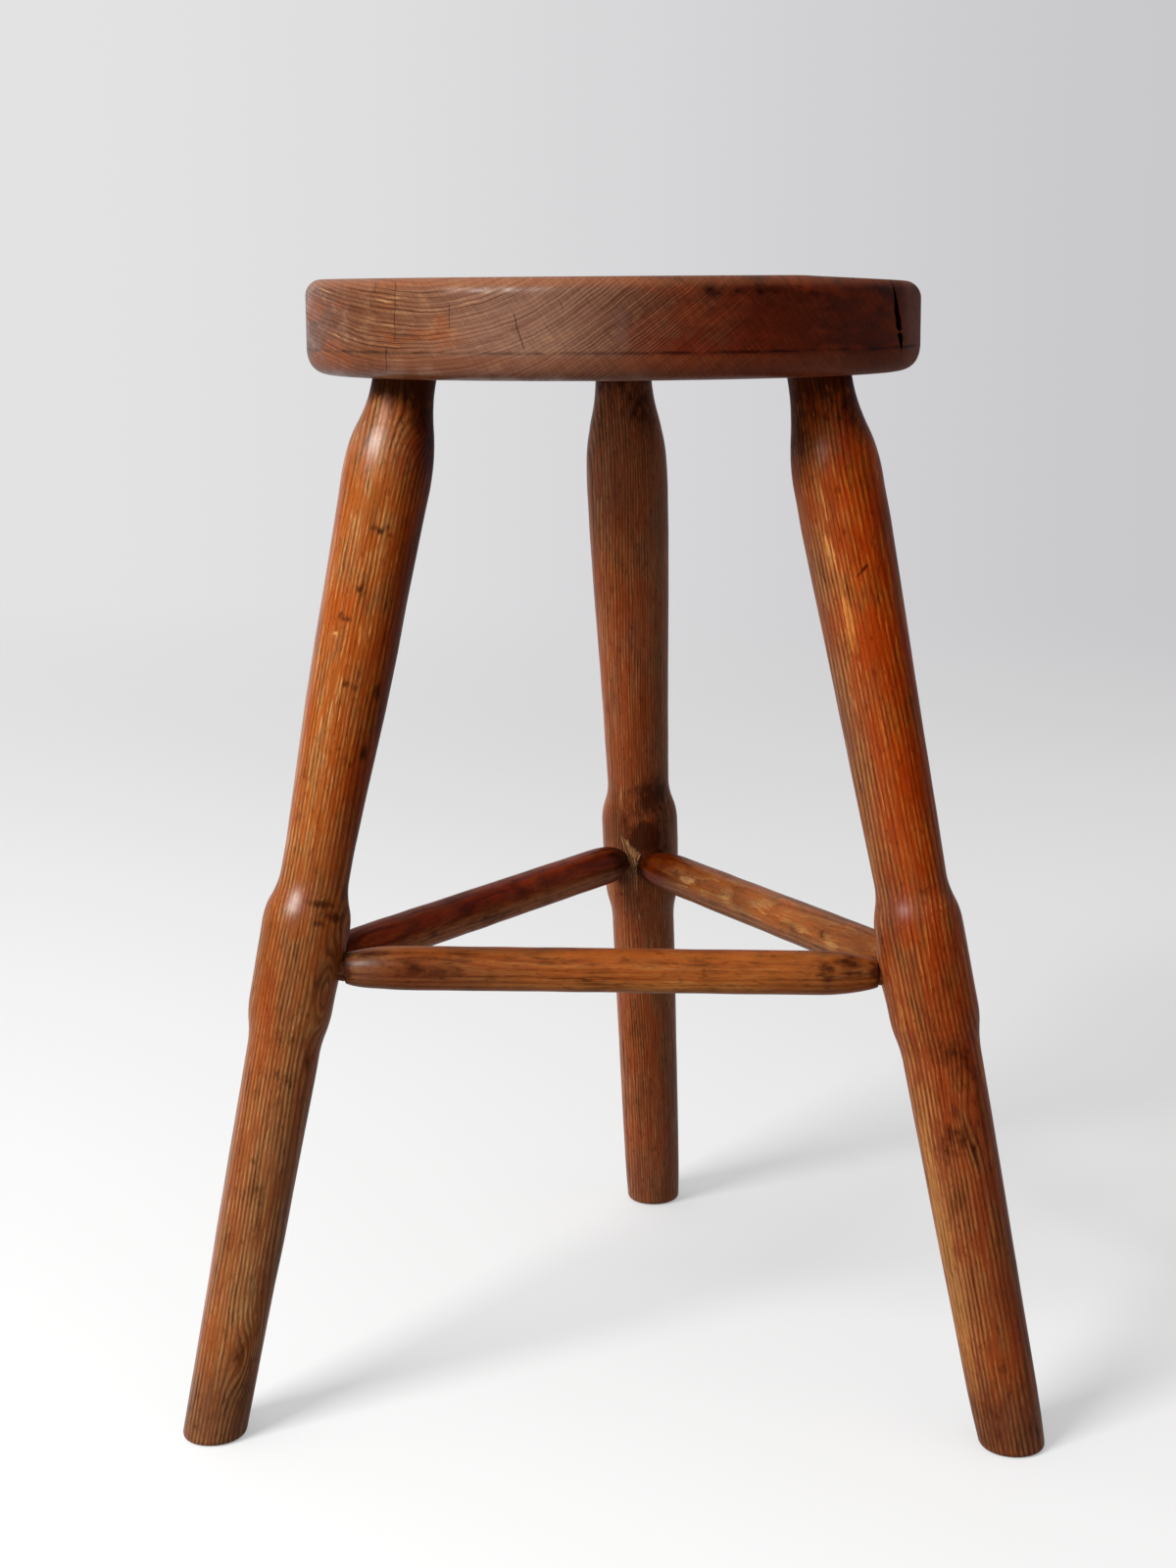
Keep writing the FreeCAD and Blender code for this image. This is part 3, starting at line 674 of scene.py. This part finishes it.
# Facing is the turn that meets the viewer. Pith, spacing, age, lines and tones are the wood's: where its
# pith lay, its ring spacing, how grey it is, how golden its lines are, and its deep, middle and gold.
# Girth is pairs of a depth and a share of the drawn radius. The other lists are spots, each a depth down
# the leg, an angle from the side that faces the viewer, a length, a width and a strength: dents, dark
# dirt and painted shadow, bare wood and some painted light, thick varnish, painted shade on darker wood,
# aged wood and some painted light, polish, and swirls that bend the rings.
leg_build = {
    "leg_front_left": dict(
        seed=11, facing=70, pith=(72, -26), spacing=2.0, age=0.2, lines=0.12,
        tones=(ink(108, 41, 10), ink(162, 87, 31), ink(216, 168, 106)),
        girth=[(0, 1), (10, 1.01), (26, 1.06), (36, 1.04), (46, 1.02), (60, 1.01), (90, 1.01),
               (112, 1.02), (132, 1.04), (160, 1.04), (180, 1.02), (200, 1.0), (232, 0.975), (250, 1.0),
               (262, 1.02), (280, 1.0), (430, 1.01), (450, 0.985), (531, 0.99)],
        dents=[(127, -37, 1.6, 2.4, 0.5), (109, 73, 14, 3, 0.3), (263, 25, 3, 5, 0.25),
               (420, 10, 8, 5, 0.3), (308, 84, 22, 10, 0.8)],
        # The dark spots at the top of the neck are painted shadow of the seat; the others are dirt and dark
        # marks
        dark=[(0, 0, 13, 90, 1.5), (14, 45, 20, 14, 0.85), (30, 66, 24, 10, 0.85), (30, 30, 12, 8, 0.45),
              (21, 3, 6, 4, 0.5), (74, -8, 2.2, 2.6, 0.8), (75, 1, 2.0, 2, 0.8), (73, 8, 2.4, 2, 0.8),
              (76, 14, 2.2, 2, 0.8), (119, -22, 2.2, 2, 0.8), (118, -34, 2.4, 2, 0.8),
              (119, -28, 2.2, 2, 0.8), (104, -14, 2.2, 2, 0.7), (106, -6, 2.2, 2, 0.7),
              (181, 36, 5, 3, 0.85), (175, 26, 7, 4, 0.5), (151, 40, 5, 3, 0.95), (150, -8, 2.2, 3, 0.75),
              (151, 2, 2.2, 3, 0.75), (186, 8, 8, 4, 0.45), (257, 14, 2.4, 9, 0.9),
              (262, 30, 3.4, 8, 0.95), (266, 12, 2, 6, 0.7), (95, 66, 60, 6, 0.45), (524, 0, 8, 60, 0.35),
              (505, 30, 12, 10, 0.4), (400, -8, 3, 3, 0.6), (430, -30, 6, 5, 0.45), (350, 8, 14, 8, 0.45),
              (335, 40, 10, 5, 0.5), (500, 45, 20, 6, 0.5), (515, 0, 20, 90, 0.3),
              (387, -22, 2, 1.5, 0.8), (429, -45, 5, 4, 0.6), (482, 16, 12, 6, 0.6),
              (372, 8, 16, 1.6, 0.55), (406, 4, 18, 1.6, 0.55), (446, 14, 16, 1.8, 0.5),
              (344, -8, 6, 20, 0.4), (326, 6, 5, 16, 0.35)],
        bare_and_painted_light=[(127, -37, 1.2, 1.8, 1.0), (70, -30, 40, 7, 0.3), (86, 3, 10, 4, 0.5), (125, 2, 14, 5, 0.5),
              (165, -22, 34, 7, 0.4), (150, 30, 20, 4, 0.35), (400, 0, 60, 7, 0.4),
              (452, 12, 40, 8, 0.5)],
        thick=[(306, -36, 26, 8, 0.7), (345, -45, 40, 7, 0.5), (110, -10, 30, 12, 0.5),
               (170, 24, 60, 10, 0.9), (120, 50, 150, 12, 1.3)],
        painted_shade_and_dark_wood=[(130, 68, 130, 13, 1.0), (380, 75, 160, 9, 0.4), (28, 48, 30, 14, 1.2),
                (278, 10, 36, 90, 0.4), (525, 0, 34, 90, 0.75)],
        aged_and_painted_light=[(400, 75, 160, 12, 0.3), (405, 15, 130, 40, 0.95), (525, 0, 46, 90, 1.1),
              (20, -60, 22, 20, 0.4)],
        polish=[(35, -26, 12, 17, 1.0), (258, -24, 9, 8, 1.0), (140, -80, 120, 6, 1.0),
                (420, -80, 120, 6, 0.8)],
        swirl=[(300, 44, 20, 6, 1.5), (485, 26, 20, 7, 1.1), (18, 40, 16, 10, 1.2)],
    ),
    "leg_front_right": dict(
        seed=21, facing=-65, pith=(-84, 4), spacing=2.2, age=0.2, lines=0.2,
        tones=(ink(110, 32, 4), ink(159, 72, 19), ink(216, 154, 86)),
        girth=[(0, 1), (20, 1.02), (40, 1.01), (58, 1.01), (74, 1.03), (150, 1.025), (240, 1.035),
               (258, 1.03), (270, 1.0), (310, 1.035), (330, 1.07), (400, 1.075), (440, 1.065),
               (500, 1.06), (514, 1.045), (531, 1.0)],
        dents=[(294, -64, 4, 3, 0.5), (95, 13, 1.2, 3.5, 0.3), (350, 5, 10, 5, 0.3),
               (289, -88, 13, 9, -1.3)],
        # The dark spots at the top of the neck are painted shadow of the seat; the others are dirt and dark
        # marks
        dark=[(0, 0, 16, 90, 1.2), (22, -56, 22, 14, 0.8), (372, 2, 12, 13, 0.62), (338, 30, 16, 9, 0.5),
              (350, 50, 60, 8, 0.4), (505, -20, 12, 16, 0.4), (522, 0, 10, 90, 0.45),
              (16, 58, 20, 13, 0.9), (17, 14, 12, 16, 0.6), (250, 20, 3, 6, 0.5), (330, 20, 9, 12, 0.7),
              (350, -10, 9, 4, 0.5), (358, 6, 8, 4, 0.6), (262, -60, 25, 6, 0.5), (520, 0, 7, 60, 0.35),
              (375, 25, 12, 3, 0.6)]
        + [(95.5 - k * 0.7, 13 + k * 2.4, 0.6, 0.9, 1.5) for k in range(-3, 4)],
        bare_and_painted_light=[(82, -27, 13, 1.4, 0.9), (88, -20, 9, 1.0, 0.9), (112, -19, 24, 1.8, 0.9),
              (122, -13, 22, 1.4, 0.9), (60, -20, 18, 3, 0.5), (105, -45, 12, 2, 0.6),
              (262, -55, 9, 2, 0.6), (150, -34, 20, 2, 0.6), (230, -62, 20, 3, 0.6),
              (300, -45, 30, 2, 0.6), (430, -54, 110, 9, 0.9)],
        thick=[(120, 35, 170, 16, 1.2), (300, 30, 80, 16, 0.8), (420, 55, 100, 10, 0.6)],
        aged_and_painted_light=[(430, 20, 120, 40, 0.45), (430, -44, 150, 13, 0.85), (525, 0, 36, 90, 0.75),
              (96, -58, 40, 12, 1.3), (175, -58, 85, 12, 1.4), (260, -75, 60, 8, 0.6),
              (350, -75, 110, 9, 0.5)],
        painted_shade_and_dark_wood=[(200, 66, 200, 8, 0.4), (262, -34, 30, 6, 0.9), (310, 10, 70, 40, 0.45),
                (430, 30, 120, 26, 0.6), (520, 0, 40, 90, 1.0), (28, -52, 22, 14, 0.4)],
        polish=[(36, -16, 8, 12, 0.45), (257, -25, 8, 20, 0.7), (160, -80, 160, 5, 0.2)],
        swirl=[(360, 20, 20, 6, 0.6)],
    ),
    "leg_back": dict(
        seed=31, facing=182, pith=(76, 6), spacing=1.45, age=0.2, lines=0.15,
        tones=(ink(94, 36, 17), ink(158, 89, 54), ink(206, 152, 104)),
        girth=[(0, 1), (15, 1.0), (37, 0.99), (48, 1.02), (59, 1.05), (70, 1.07), (95, 1.085),
               (128, 1.08), (151, 1.065), (175, 1.05), (212, 1.045), (248, 1.04), (273, 1.03),
               (285, 1.04), (325, 1.02), (380, 1.035), (500, 1.04), (514, 1.03), (531, 1.0)],
        dents=[(302, -8, 9, 3, 0.9), (258, -30, 6, 1.5, 0.4)],
        # The dark spots at the top of the neck are painted shadow of the seat; those round the collar are
        # dark wood and painted shade where the stretchers meet it; the others are dirt
        dark=[(0, 0, 14, 90, 1.0), (18, 40, 20, 14, 0.8), (250, 34, 14, 13, 1.1), (266, 12, 24, 17, 0.65),
              (274, 14, 13, 12, 1.4), (284, 32, 6, 9, 1.0), (292, 14, 7, 14, 0.95), (297, 25, 9, 8, 0.9),
              (300, -25, 6, 5, 0.8), (302, -31, 1.2, 1.2, 0.9), (311, -30, 1.2, 1.2, 0.9),
              (440, 8, 10, 2, 0.5), (520, 0, 8, 60, 0.3)],
        # The first bare spot, high on the left, is painted light where the seat shades the leg
        bare_and_painted_light=[(85, -40, 45, 14, 0.4), (268, 60, 14, 1.8, 0.9), (250, -30, 7, 1.1, 1.0),
              (257, -26, 6, 0.9, 0.9), (292, -11, 8, 4.5, 0.7), (303, -2, 10, 1.4, 0.8),
              (262, 62, 30, 2.4, 0.5), (300, 62, 16, 3, 0.5), (325, 0, 3, 1, 0.7),
              (200, 62, 70, 1.6, 0.6), (380, 58, 60, 3, 0.55), (360, 10, 16, 1, 0.6)],
        thick=[(200, 0, 160, 14, 0.5), (420, 0, 90, 14, 0.4)],
        # The first aged spot, along the right edge, is a painted rim of light
        aged_and_painted_light=[(300, 54, 320, 6, 0.8), (275, -30, 22, 12, 0.5), (525, 0, 28, 90, 0.3)],
        painted_shade_and_dark_wood=[(260, 20, 90, 16, 0.6), (430, 10, 110, 16, 0.45), (264, -34, 20, 12, 1.0),
                (270, 48, 18, 13, 1.1)],
        polish=[(50, -30, 20, 20, 0.15), (250, -80, 300, 7, 0.4)], swirl=[(340, 0, 20, 5, 0.5)],
    ),
}
for leg, build in leg_build.items():
    points, radius, view, along = leg_rings(leg, build)
    piece = skin("turned_" + leg, points)
    billet = radius * np.sin(view), -radius * np.cos(view), along
    give_wood(piece, leg, build, billet, radius, view)
    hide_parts(leg)
    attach(piece, "root")


# The torn fibres: where the side stretchers meet on the back leg its surface has split, and a shred of
# bare, pale wood still hangs there. It is part of the leg's own wood.
fibre_half_thickness = 0.3


def on_leg(leg, depth, view, lift=0):
    """Point at a lift above a leg's surface, at a depth and an angle from the side that faces the viewer."""
    head, length, down, out, level = leg_frame(leg)
    turn = math.radians(leg_build[leg]["facing"] + view)
    girth = np.interp(depth, *np.array(leg_build[leg]["girth"]).T)
    reach = turning(np.array(depth), length) * girth + lift
    return head + down * depth + reach * (math.cos(turn) * out + math.sin(turn) * level)


def strand(path, width):
    """Rings along a curve through points: flattened, widest in the middle, and pointed at both ends.

    The curve is the quadratic through three points; the half width at k is w sqrt(4 k (1 - k)).
    """
    k = np.linspace(0, 1, 15)[:, None]
    start, middle, end = (np.array(point) for point in path)
    bend = 2 * middle - (start + end) / 2
    line = (1 - k) ** 2 * start + 2 * k * (1 - k) * bend + k * k * end
    along = np.gradient(line, axis=0)
    along /= np.linalg.norm(along, axis=1)[:, None]
    side = np.cross(along, [0, -1, 0])
    side /= np.linalg.norm(side, axis=1)[:, None]
    out = np.cross(side, along)
    turn = np.linspace(0, 2 * math.pi, 8, endpoint=False)
    swell = np.sqrt(np.clip(4 * k * (1 - k), 0.004, 1))[:, None]
    flat = np.cos(turn)[None, :, None] * side[:, None] * width
    high = np.sin(turn)[None, :, None] * out[:, None] * fibre_half_thickness
    return line[:, None] + (flat + high) * swell


chance = np.random.default_rng(7)
strands = []
for k in np.linspace(0, 1, 13):
    nudge, stray = chance.normal(0, 1, 2)
    far = chance.random() ** 3
    path = [
        (272 + 11 * k + nudge, -24 + 31 * k, 0),
        (281 + 5 * k + far * 8, -12 + 14 * k, 0.8 + 1.6 * far),
        (290 + 2 * k + far * 22, -2 + stray * 2.5 + far * 4, 0.3 + far),
    ]
    width = 0.5 + 0.3 * chance.random()
    strands.append(strand([on_leg("leg_back", *point) for point in path], width))
loose = skin("torn_fibres", *strands)
raw = Finish(bpy.data.materials.new("torn_fibre_wood"))
where = raw.stretched(raw.node("TexCoord", None, None, output=3), mm, mm, mm)
grain = raw.noise(where, 0.6, 0.6, 7, detail=3)
tone = raw.mixed(grain.over(0.35, 0.65), ink(92, 58, 34), ink(178, 124, 80))
loose.data.materials.append(raw.varnished(
    tone, 0.7, grain, depth=0.1, specular=0.2, coat=0, coat_roughness=0.3
))
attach(loose, "root")


# The stretchers: three plain rounds of the same wood, whittled to a bullet shape at each end, with a thin
# tenon glued into the collars. The front one is lighter, the left one has kept the most varnish.
stretcher_radius = 10.8
stretcher_end_length = 29
bare_tenon = 2
tenon_tip = 14
tenon_profile = np.array([2, 5.6, 6, 6, 6.3, 6.2, 6.1, 7.2]) / 7.4


def point_on_leg(leg, height):
    """Point of a leg's axis at a height above the floor."""
    head, foot = legs[leg]
    return foot + (head - foot) * (height / seat_underside)


def tenon_rows(shoulder):
    """Places of the rings along a tenon, from its tip to its shoulder, measured from the leg's axis."""
    return np.array([tenon_tip] * 2 + [tenon_tip + 0.3] + [shoulder - gap for gap in (3, 1.5, 0.2, 0, 0)])


def stretcher_rings(ends, drop, seed, sags, asides, reaches, girth, rise, tips, eases):
    """Rings along a stretcher from tenon tip to tenon tip, with the end sections let down a little.

    With k going from 0 to 1 along an end section, its radius is R - (R - tip) k^ease, and its
    let-down is the sag times k^2, as is the way it goes aside. An end comes nearer by its reach.
    """
    start = point_on_leg(ends[0], stretcher_height)
    end = point_on_leg(ends[1], stretcher_height - drop)
    span = np.linalg.norm(end - start)
    along_axis = (end - start) / span
    side = np.cross(along_axis, [0, 0, 1])
    side /= np.linalg.norm(side)
    above = np.cross(side, along_axis)

    shoulders = []
    for leg, reach in zip(ends, reaches):
        lean = along_axis @ leg_frame(leg)[2]
        shoulders.append(collar_radius / math.sqrt(1 - lean * lean) + bare_tenon - reach)
    near, far = shoulders[0], span - shoulders[1]

    def end_shares(s):
        """Shares of the two end sections at a place: 0 where each begins, rising to 1 at its tip."""
        first, second = near + stretcher_end_length - s, s - far + stretcher_end_length
        return [np.clip(gone / stretcher_end_length, 0, 1) for gone in (first, second)]

    body = np.arange(near + 0.15, far - 0.1, 0.8)
    body_radius = stretcher_radius
    for k, tip, ease in zip(end_shares(body), tips, eases):
        body_radius = body_radius - (stretcher_radius - tip) * k ** ease
    s = np.hstack([tenon_rows(shoulders[0]), body, span - tenon_rows(shoulders[1])[::-1]])
    radius = np.hstack([tenon_profile * tips[0], body_radius, tenon_profile[::-1] * tips[1]])
    s, turn = np.meshgrid(s, np.linspace(0, 2 * math.pi, 96, endpoint=False), indexing="ij")
    radius = np.broadcast_to(radius[:, None], s.shape).copy()
    upward, sideward = np.cos(turn), np.sin(turn)

    middle = smooth(near, near + 3, s) * smooth(far, far - 3, s)
    lumps = waves(seed + 1, 8, (s, 60), (upward, 5), (sideward, 5))
    radius += middle * (0.16 * waves(seed, 8, (s, 90)) + 0.12 * lumps - 0.1)
    radius *= 1 + (girth - 1) * middle
    near_k, far_k = end_shares(s)
    let_down = sags[0] * near_k ** 2 + sags[1] * far_k ** 2
    let_down -= rise * smooth(near, near + 20, s) * smooth(far, near, s)
    aside = asides[0] * near_k ** 2 + asides[1] * far_k ** 2
    points = start + s[..., None] * along_axis - let_down[..., None] * above + aside[..., None] * side
    ring = upward[..., None] * above + sideward[..., None] * side
    return points + radius[..., None] * ring, radius, turn, s


# Each is described like a leg, with its spots at a place along it and an angle from its upper side. Its
# shape names its two legs, how far its second end drops, how its ends sag, go aside and reach, its girth,
# the rise of its middle, and the radius and ease of its tips.
stretcher_build = {
    "stretcher_front": dict(
        shape=dict(ends=("leg_front_left", "leg_front_right"), drop=0, seed=41, sags=(-0.9, 0.3),
                   asides=(0, 0), reaches=(0, 0), girth=1.01, rise=1.1, tips=(7.7, 6.6),
                   eases=(2.4, 2.1)),
        pith=(40, 70), spacing=3.1, age=0.3, lines=0.1,
        tones=(ink(122, 58, 22), ink(154, 84, 34), ink(180, 116, 60)),
        # The dark spots at the very ends are painted shade where the stretcher goes into the legs; the
        # others are dirt
        dark=[(24, 0, 5, 40, 0.9), (36, 34, 12, 6, 0.6), (57, 74, 10, 6, 0.75), (74, 84, 16, 5, 0.5),
              (66, 50, 16, 3, 0.4), (258, 76, 5, 7, 0.8), (268, 42, 9, 5, 0.8), (282, 70, 5, 10, 0.9),
              (270, 66, 16, 12, 0.45), (250, 64, 4, 3, 0.4), (120, 60, 8, 2, 0.4)],
        # The second bare spot, along the lower side, is painted light thrown up from the floor
        bare_and_painted_light=[(45, 51, 5, 3, 0.8), (165, 124, 100, 5, 0.9), (150, 66, 60, 3, 0.25),
              (274, 69, 7, 1.3, 1.0)],
        thick=[(150, 10, 60, 5, 0.5)], aged_and_painted_light=[(30, 60, 20, 30, 0.9), (80, 100, 40, 6, 0.5)],
        painted_shade_and_dark_wood=[(52, 84, 44, 12, 1.0), (278, 60, 22, 30, 0.4)],
        polish=[(33, 60, 10, 8, 0.35), (150, 0, 90, 12, 0.1)], swirl=[(60, 60, 30, 5, 0.6)],
    ),
    "stretcher_left": dict(
        shape=dict(ends=("leg_front_left", "leg_back"), drop=0, seed=51, sags=(0, 0.8), asides=(0, 0),
                   reaches=(0, 0), girth=1.02, rise=0, tips=(7.5, 7.2), eases=(2, 4)),
        pith=(60, 40), spacing=2.2, age=0.45, lines=0.12,
        tones=(ink(84, 21, 1), ink(150, 54, 7), ink(192, 112, 58)),
        # The dark spots at the very ends are painted shade where the stretcher goes into the legs; the
        # others are dirt
        dark=[(18, 0, 22, 40, 0.9), (93, 92, 8, 4, 0.5), (60, 84, 14, 2, 0.4), (180, 88, 12, 2, 0.4),
              (150, 0, 120, 6, 0.4), (277, 0, 13, 90, 0.9), (290, 0, 12, 90, 1.2)],
        # The second bare spot, along the lower side, is painted light thrown up from the floor
        bare_and_painted_light=[(77, 98, 10, 3, 0.6), (150, 108, 160, 5.5, 1.4), (216, 100, 30, 2, 0.5),
              (140, -80, 120, 7, 0.35)],
        # The first aged spot, on the lower side, is painted light thrown up from the floor
        thick=[(150, 40, 150, 9, 1.0)], aged_and_painted_light=[(150, 112, 160, 6, 0.9), (150, -100, 300, 16, 1.3)],
        painted_shade_and_dark_wood=[], polish=[(230, 0, 90, 12, 0.1)], swirl=[(150, 60, 40, 5, 0.5)],
    ),
    "stretcher_right": dict(
        shape=dict(ends=("leg_front_right", "leg_back"), drop=5, seed=61, sags=(0, -1.2),
                   asides=(0, -4.5), reaches=(0, 4.5), girth=1.045, rise=0, tips=(7.0, 7.0),
                   eases=(2, 2.4)),
        pith=(-60, 40), spacing=3.0, age=0.2, lines=0.1,
        tones=(ink(120, 58, 22), ink(152, 86, 38), ink(196, 146, 90)),
        # The dark spots at the very ends are painted shade where the stretcher goes into the legs; the
        # others are dirt
        dark=[(80, -76, 8, 3, 0.5), (112, -74, 8, 2, 0.5), (215, -62, 8, 3, 0.6), (244, -58, 6, 3, 0.5),
              (262, -76, 8, 3, 0.5), (283, 0, 8, 90, 0.9), (292, 0, 12, 90, 1.1)],
        bare_and_painted_light=[(71, -88, 8, 2.4, 1.0), (103, -85, 6, 1.6, 0.9), (150, -74, 50, 2, 0.4),
              (183, -76, 10, 2, 0.7), (230, -69, 9, 2.6, 1.1), (255, -66, 8, 1.6, 0.8)],
        thick=[(120, 0, 80, 7, 0.4), (272, -30, 26, 20, 1.4)],
        aged_and_painted_light=[(20, 0, 60, 90, 0.3), (150, -120, 140, 5, 0.6)],
        painted_shade_and_dark_wood=[(272, -50, 30, 60, 1.3), (36, -20, 50, 60, 0.6)], polish=[(150, 0, 90, 12, 0.2)],
        swirl=[(200, -60, 30, 5, 0.5)],
    ),
}
for stretcher, build in stretcher_build.items():
    points, radius, turn, along = stretcher_rings(**build["shape"])
    piece = skin("round_" + stretcher, points)
    billet = radius * np.sin(turn), radius * np.cos(turn), along
    give_wood(piece, stretcher, build, billet, radius, turn)
    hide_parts(stretcher)
    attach(piece, "root")


# Floor, background and light: a plain pale floor that fades into a plain pale background. One broad soft
# light stands to the front left, like a window, and the room fills the rest. The floor also glows for the
# viewer, and floor and background are painted darker to the right, a painted fall-off of the light.
floor_reach = 6.0


def eye_rays(finish):
    """Share of rays straight from the viewer, and of rays by way of a shiny or clear surface."""
    straight = finish.node("LightPath")
    return straight, straight.part("Is Glossy Ray").at_least(straight.part("Is Transmission Ray"))


floor_mesh = bpy.data.meshes.new("floor")
corners = [(x * floor_reach, y * floor_reach, 0) for x, y in ((-1, -1), (1, -1), (1, 1), (-1, 1))]
floor_mesh.from_pydata(corners, [], [(0, 1, 2, 3)])
floor = bpy.data.objects.new("floor", floor_mesh)
scene.collection.objects.link(floor)

paint = Finish(bpy.data.materials.new("floor_paint"))
side = paint.node("SeparateXYZ", None, {"Vector": paint.node("TexCoord", None, None, output=3)})
back = side.part("Y")
# Painted fall-off of the light: the floor is darker to the right and back; its glow is a painted brightness
# that keeps its shadows faint
dim_side = (side + back * 0.45).over(-0.35, 0.75)
tone = paint.mixed(dim_side, (0.555, 0.56, 0.565, 1), (0.53, 0.53, 0.535, 1))
lift = paint.mixed(dim_side, (0.37, 0.375, 0.38, 1), (0.32, 0.32, 0.325, 1))
straight, mirrored = eye_rays(paint)
pale = paint.node("BsdfPrincipled", None, {
    "Base Color": tone, "Roughness": 0.7, "Specular IOR Level": 0.1,
    "Emission Color": lift, "Emission Strength": 1.0,
})
plain = paint.node("BsdfPrincipled", None, {
    "Base Color": (0.30, 0.30, 0.30, 1), "Roughness": 0.7, "Specular IOR Level": 0.1,
})
shown = straight.at_least(mirrored * back.over(-0.9, -0.3))
solid = paint.node("MixShader", None, {0: shown, 1: plain, 2: pale})
clear = paint.node("BsdfTransparent")
faded = paint.node("MixShader", None, {0: back.over(0.9, 3.4), 1: solid, 2: clear})
paint.node("OutputMaterial", None, {"Surface": faded})
floor_mesh.materials.append(paint.holder)

scene.world = bpy.data.worlds.new("room")
room = Finish(scene.world)


def backdrop(*colour):
    """Even light of a colour from all round."""
    return room.node("Background", None, {"Color": colour, "Strength": 1.0})


toward = room.node("TexCoord")
window_side = {0: toward, 1: (-0.60, -0.50, 0.62)}
from_window = room.node("VectorMath", {"operation": "DOT_PRODUCT"}, window_side, output="Value")
dusk, glow = backdrop(0.07, 0.07, 0.075, 1), backdrop(0.76, 0.75, 0.73, 1)
glimmer = room.node("MixShader", None, {0: from_window.over(-0.5, 0.9), 1: dusk, 2: glow})
side = room.node("SeparateXYZ", None, {"Vector": toward})
# The background is painted greyer to the right, a painted fall-off of the light
near_wall, far_wall = backdrop(*ink(227, 227, 228)), backdrop(*ink(198, 197, 200))
wall = room.node("MixShader", None, {0: side.over(-0.28, 0.26), 1: near_wall, 2: far_wall})
behind_viewer = backdrop(0.05, 0.05, 0.05, 1)
wall = room.node("MixShader", None, {0: side.part("Y").over(0.35, -0.15), 1: wall, 2: behind_viewer})
straight, mirrored = eye_rays(room)
both = room.node("MixShader", None, {0: straight.at_least(mirrored), 1: glimmer, 2: wall})
room.node("OutputWorld", None, {"Surface": both})

lamp = bpy.data.lights.new("window_front_left", "AREA")
lamp.shape = "RECTANGLE"
lamp.size, lamp.size_y = 1.1, 0.9
lamp.energy = 84
lamp.color = (1.0, 0.985, 0.965)
window = bpy.data.objects.new("window_front_left", lamp)
window.location = (-1.6, -1.78, 1.9)
to_stool = Vector((0, 0, 0.3)) - window.location
window.rotation_euler = to_stool.to_track_quat("-Z", "Y").to_euler()
scene.collection.objects.link(window)
